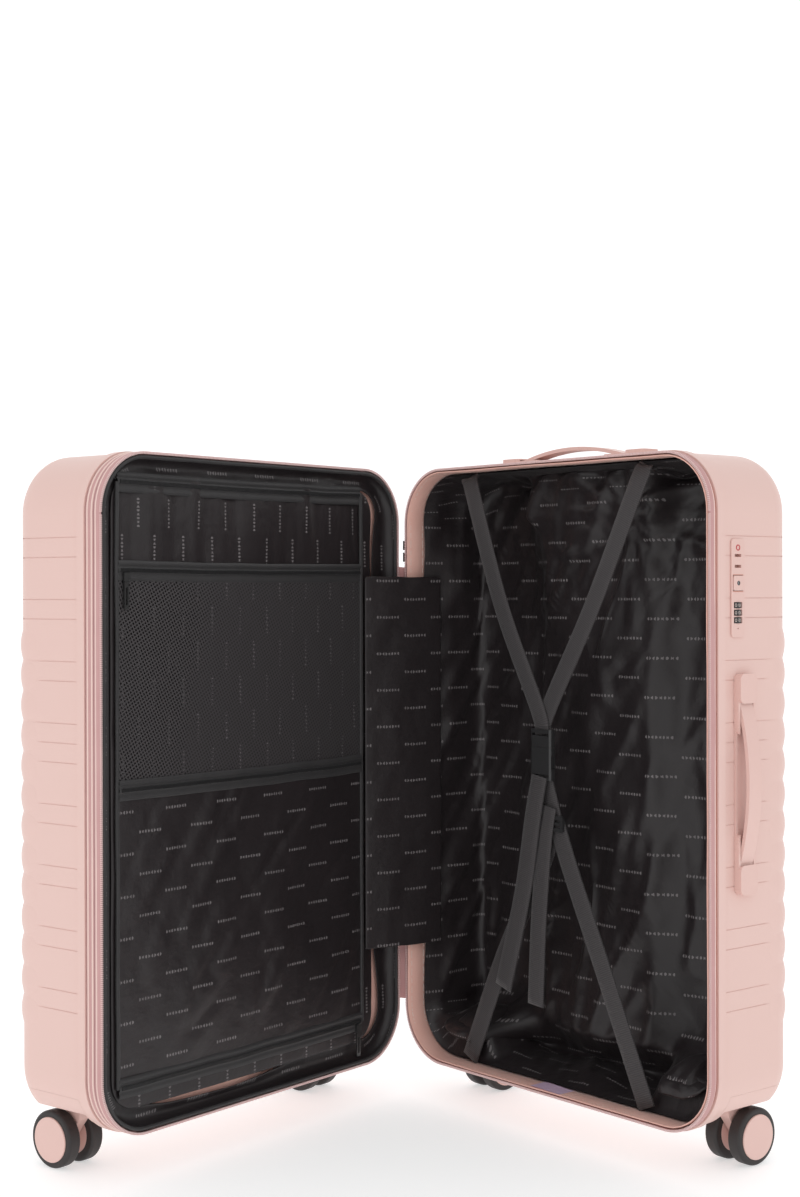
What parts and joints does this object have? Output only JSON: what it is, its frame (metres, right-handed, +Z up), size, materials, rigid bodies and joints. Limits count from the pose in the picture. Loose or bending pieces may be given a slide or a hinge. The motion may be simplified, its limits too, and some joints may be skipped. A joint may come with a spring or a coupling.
{
  "type": "hard shell suitcase",
  "caption": "Large hard shell suitcase standing open like a book on twin-wheel casters, with lining, straps, lock and telescoping handle.",
  "frame": {"origin": "middle of the open case's outline in plan, on the floor under its wheels", "axes": "+Z up; the back half lies square to the axes, with its big face towards +Y and its lock side towards +X; the lid is swung open towards -Y"},
  "size_m": [0.6256, 0.6259, 0.7604],
  "materials": {
    "shell": "satin moulded polypropylene",
    "pink_trim": "satin moulded plastic",
    "zip_tape": "woven zip tape",
    "binding": "stitched binding tape",
    "lining": "satin polyester",
    "mesh": "open net",
    "webbing": "ribbed webbing",
    "black_plastic": "satin moulded plastic",
    "zip_metal": "black lacquer",
    "tyre": "matt rubber",
    "aluminium": "anodised",
    "steel": "ground"
  },
  "bodies": {
    "back": {"back_shell": "shell", "back_zip_tape": "zip_tape", "back_binding": "binding", "back_lining": "lining", "back_caster_mounts": "shell", "back_side_feet": "pink_trim", "trolley_cup": "black_plastic", "trolley_outer_tubes": "aluminium", "trolley_base": "black_plastic", "side_handle_sockets": "pink_trim", "top_handle_sockets": "pink_trim", "lock_plate": "pink_trim", "upper_straps": "webbing", "lower_straps": "webbing", "strap_tails": "webbing", "strap_adjuster": "black_plastic", "buckle_socket": "black_plastic"},
    "lid": {"lid_shell": "shell", "lid_zip_tape": "zip_tape", "lid_expander": "zip_tape", "lid_gusset": "lining", "lid_lining": "lining", "lid_caster_mounts": "shell", "lid_side_feet": "pink_trim", "divider_panel": "lining", "mesh_pocket": "mesh", "pocket_zips": "webbing", "spine_hinge": "zip_tape", "spine_flap": "lining"},
    "back_hinge_caster": {"back_hinge_caster_fork": "pink_trim"},
    "back_hinge_wheels": {"back_hinge_caster_axle": "steel", "back_hinge_caster_tyres": "tyre", "back_hinge_caster_hubs": "pink_trim"},
    "back_lock_caster": {"back_lock_caster_fork": "pink_trim"},
    "back_lock_wheels": {"back_lock_caster_axle": "steel", "back_lock_caster_tyres": "tyre", "back_lock_caster_hubs": "pink_trim"},
    "lid_hinge_caster": {"lid_hinge_caster_fork": "pink_trim"},
    "lid_hinge_wheels": {"lid_hinge_caster_axle": "steel", "lid_hinge_caster_tyres": "tyre", "lid_hinge_caster_hubs": "pink_trim"},
    "lid_lock_caster": {"lid_lock_caster_fork": "pink_trim"},
    "lid_lock_wheels": {"lid_lock_caster_axle": "steel", "lid_lock_caster_tyres": "tyre", "lid_lock_caster_hubs": "pink_trim"},
    "trolley_middle": {"trolley_middle_tubes": "aluminium"},
    "trolley_top": {"trolley_inner_tubes": "aluminium", "trolley_grip": "black_plastic"},
    "trolley_button": {"trolley_button": "black_plastic"},
    "side_handle": {"side_handle_grip": "pink_trim"},
    "top_handle": {"top_handle_grip": "pink_trim"},
    "lock_dial_lower": {"lock_dial_lower": "black_plastic"},
    "lock_dial_middle": {"lock_dial_middle": "black_plastic"},
    "lock_dial_upper": {"lock_dial_upper": "black_plastic"},
    "lock_release": {"lock_release": "pink_trim"},
    "buckle_plug": {"buckle_plug": "black_plastic"},
    "mesh_zip_slider": {"mesh_zip_slider": "zip_metal"},
    "lower_zip_slider": {"lower_zip_slider": "zip_metal"},
    "main_zip_sliders": {"main_zip_sliders": "zip_metal"}
  },
  "joints": [
    {"name": "lid_hinge", "type": "hinge", "parent": "back", "child": "lid", "pos_m": [-0.18563, 0.18096, 0.4], "axis": [0, 0, 1], "range_deg": [-100, 78], "deforming": ["spine_hinge", "spine_flap"]},
    {"name": "back_hinge_caster_swivel", "type": "hinge", "parent": "back", "child": "back_hinge_caster", "pos_m": [-0.13462, 0.27096, 0.065], "axis": [0, 0, 1], "continuous": true},
    {"name": "back_hinge_caster_roll", "type": "hinge", "parent": "back_hinge_caster", "child": "back_hinge_wheels", "pos_m": [-0.13462, 0.28196, 0.03], "axis": [1, 0, 0], "continuous": true},
    {"name": "back_lock_caster_swivel", "type": "hinge", "parent": "back", "child": "back_lock_caster", "pos_m": [0.24938, 0.27096, 0.065], "axis": [0, 0, 1], "continuous": true},
    {"name": "back_lock_caster_roll", "type": "hinge", "parent": "back_lock_caster", "child": "back_lock_wheels", "pos_m": [0.24938, 0.28196, 0.03], "axis": [1, 0, 0], "continuous": true},
    {"name": "lid_hinge_caster_swivel", "type": "hinge", "parent": "lid", "child": "lid_hinge_caster", "pos_m": [-0.26697, 0.11153, 0.065], "axis": [0, 0, 1], "continuous": true},
    {"name": "lid_hinge_caster_roll", "type": "hinge", "parent": "lid_hinge_caster", "child": "lid_hinge_wheels", "pos_m": [-0.27773, 0.10925, 0.03], "axis": [0.2079, -0.9781, 0], "continuous": true},
    {"name": "lid_lock_caster_swivel", "type": "hinge", "parent": "lid", "child": "lid_lock_caster", "pos_m": [-0.18713, -0.26407, 0.065], "axis": [0, 0, 1], "continuous": true},
    {"name": "lid_lock_caster_roll", "type": "hinge", "parent": "lid_lock_caster", "child": "lid_lock_wheels", "pos_m": [-0.19789, -0.26636, 0.03], "axis": [0.2079, -0.9781, 0], "continuous": true},
    {"name": "trolley_lower_slide", "type": "slide", "parent": "back", "child": "trolley_middle", "axis": [0, 0, 1], "range_m": [0, 0.19]},
    {"name": "trolley_upper_slide", "type": "slide", "parent": "trolley_middle", "child": "trolley_top", "axis": [0, 0, 1], "range_m": [0, 0.19]},
    {"name": "trolley_button_press", "type": "slide", "parent": "trolley_top", "child": "trolley_button", "axis": [0, 0, -1], "range_m": [0, 0.0025], "stiffness_N_per_m": 400, "springref_m": -0.001},
    {"name": "side_handle_lift", "type": "slide", "parent": "back", "child": "side_handle", "axis": [1, 0, 0], "range_m": [0, 0.002]},
    {"name": "top_handle_lift", "type": "slide", "parent": "back", "child": "top_handle", "axis": [0, 0, 1], "range_m": [0, 0.002]},
    {"name": "lock_dial_lower_turn", "type": "hinge", "parent": "back", "child": "lock_dial_lower", "pos_m": [0.29238, 0.22396, 0.5703], "axis": [0, 0, 1], "continuous": true},
    {"name": "lock_dial_middle_turn", "type": "hinge", "parent": "back", "child": "lock_dial_middle", "pos_m": [0.29238, 0.22396, 0.5779], "axis": [0, 0, 1], "continuous": true},
    {"name": "lock_dial_upper_turn", "type": "hinge", "parent": "back", "child": "lock_dial_upper", "pos_m": [0.29238, 0.22396, 0.5855], "axis": [0, 0, 1], "continuous": true},
    {"name": "lock_release_press", "type": "slide", "parent": "back", "child": "lock_release", "axis": [-1, 0, 0], "range_m": [0, 0.001], "stiffness_N_per_m": 300, "springref_m": -0.001},
    {"name": "buckle_plug_pull", "type": "slide", "parent": "back", "child": "buckle_plug", "axis": [0, 0, 1], "range_m": [0, 0.03], "deforming": ["upper_straps"]},
    {"name": "mesh_zip_run", "type": "slide", "parent": "lid", "child": "mesh_zip_slider", "axis": [-0.2079, 0.9781, 0], "range_m": [0, 0.366]},
    {"name": "lower_zip_run", "type": "slide", "parent": "lid", "child": "lower_zip_slider", "axis": [0.2079, -0.9781, 0], "range_m": [0, 0.366]},
    {"name": "main_zip_run", "type": "slide", "parent": "back", "child": "main_zip_sliders", "axis": [0, 0, 1], "range_m": [0, 0.02]}
  ]
}
